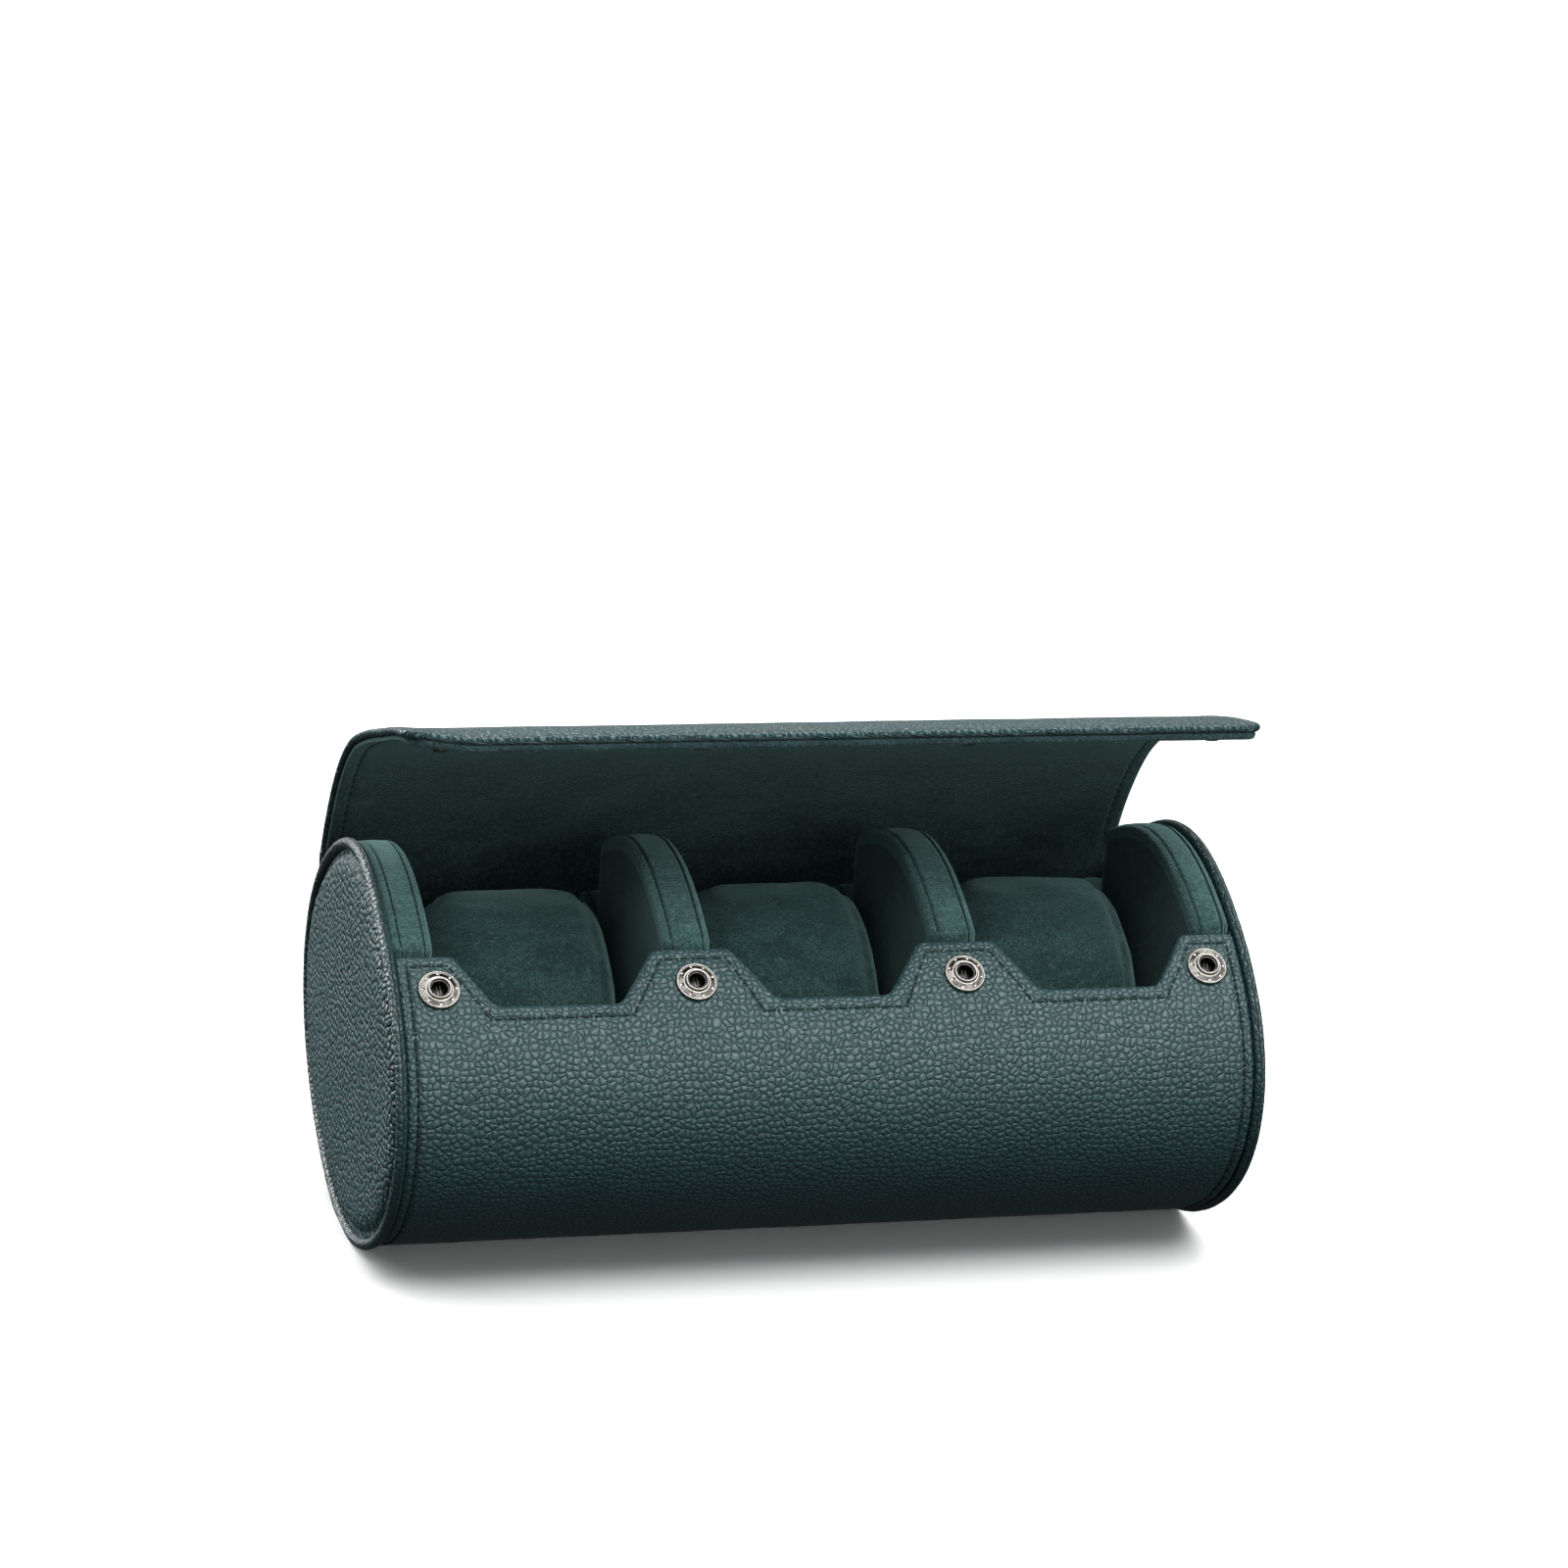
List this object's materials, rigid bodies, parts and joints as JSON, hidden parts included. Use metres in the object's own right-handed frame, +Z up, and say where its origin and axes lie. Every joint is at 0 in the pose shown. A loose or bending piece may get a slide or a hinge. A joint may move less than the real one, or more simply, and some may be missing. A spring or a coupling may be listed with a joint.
{
  "type": "watch travel case",
  "caption": "Oval leather watch roll with a soft hinged lid, press snaps, suede dividers and removable watch pillows.",
  "frame": {"origin": "on the floor, below the middle of the roll", "axes": "+X along the roll to the viewer's right, +Y to the rear, hinge side, +Z up"},
  "size_m": [0.2272, 0.1322, 0.1451],
  "materials": {
    "green_leather": "pebbled, semi-matte",
    "green_suede": "napped suede",
    "pillow_suede": "napped suede",
    "board": "matte",
    "foam": "matte foam",
    "nickel": "nickel plated"
  },
  "bodies": {
    "shell": {"outer_leather": "green_leather", "shell_board": "board", "shell_lining": "green_suede", "hinge_leather": "green_leather", "end_wall_core_left": "board", "end_wall_suede_left": "green_suede", "end_wall_core_right": "board", "end_wall_suede_right": "green_suede", "divider_core_left": "board", "divider_suede_left": "green_suede", "divider_core_right": "board", "divider_suede_right": "green_suede", "end_board_left": "board", "end_foam_left": "foam", "end_leather_left": "green_leather", "bead_left": "green_leather", "end_board_right": "board", "end_foam_right": "foam", "end_leather_right": "green_leather", "bead_right": "green_leather", "snap_sockets": "nickel", "snap_socket_backs": "nickel", "seat_pads": "green_suede"},
    "lid": {"lid_leather": "green_leather", "lid_board": "board", "lid_lining": "green_suede"},
    "lid_flap": {"flap_leather": "green_leather", "flap_board": "board", "flap_lining": "green_suede", "snap_studs": "nickel"},
    "pillow_left": {"pillow_suede_left": "pillow_suede", "pillow_foam_left": "foam"},
    "pillow_middle": {"pillow_suede_middle": "pillow_suede", "pillow_foam_middle": "foam"},
    "pillow_right": {"pillow_suede_right": "pillow_suede", "pillow_foam_right": "foam"}
  },
  "joints": [
    {"name": "lid_hinge", "type": "hinge", "parent": "shell", "child": "lid", "pos_m": [0, 0.05521, 0.07506], "axis": [-1, 0, 0], "range_deg": [-26, 110]},
    {"name": "flap_curl", "type": "hinge", "parent": "lid", "child": "lid_flap", "pos_m": [0, -0.00921, 0.13668], "axis": [-1, 0, 0], "range_deg": [-26, 5]},
    {"name": "pillow_left_lift", "type": "slide", "parent": "shell", "child": "pillow_left", "axis": [0, 0, 1], "range_m": [0, 0.03]},
    {"name": "pillow_middle_lift", "type": "slide", "parent": "shell", "child": "pillow_middle", "axis": [0, 0, 1], "range_m": [0, 0.03]},
    {"name": "pillow_right_lift", "type": "slide", "parent": "shell", "child": "pillow_right", "axis": [0, 0, 1], "range_m": [0, 0.03]}
  ]
}
